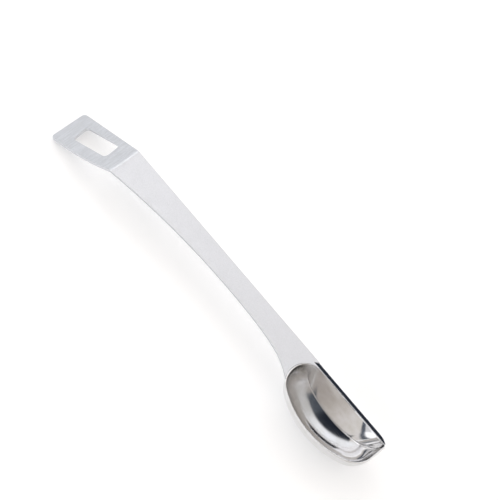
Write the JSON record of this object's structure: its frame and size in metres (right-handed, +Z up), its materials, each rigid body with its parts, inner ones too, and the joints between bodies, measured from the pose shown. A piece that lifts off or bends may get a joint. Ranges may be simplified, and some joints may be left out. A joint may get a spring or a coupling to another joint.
{
  "type": "measuring spoon",
  "caption": "Steel measuring spoon with a deep half-round bowl along one straight edge, a flat tapered handle and a bent hanging tab with a window.",
  "frame": {"origin": "middle of the plan, on the table that the spoon lies on with its rim level", "axes": "+X along the handle to the tip of the bowl, +Y to the straight edge, +Z up out of the bowl"},
  "size_m": [0.2124, 0.0264, 0.0209],
  "materials": {
    "satin_steel": "fine satin, blasted evenly",
    "mirror_steel": "mirror polished stainless steel",
    "weld_steel": "brushed weld bead"
  },
  "bodies": {
    "root": {"handle": "satin_steel", "bowl": "mirror_steel", "weld": "weld_steel"}
  },
  "joints": []
}
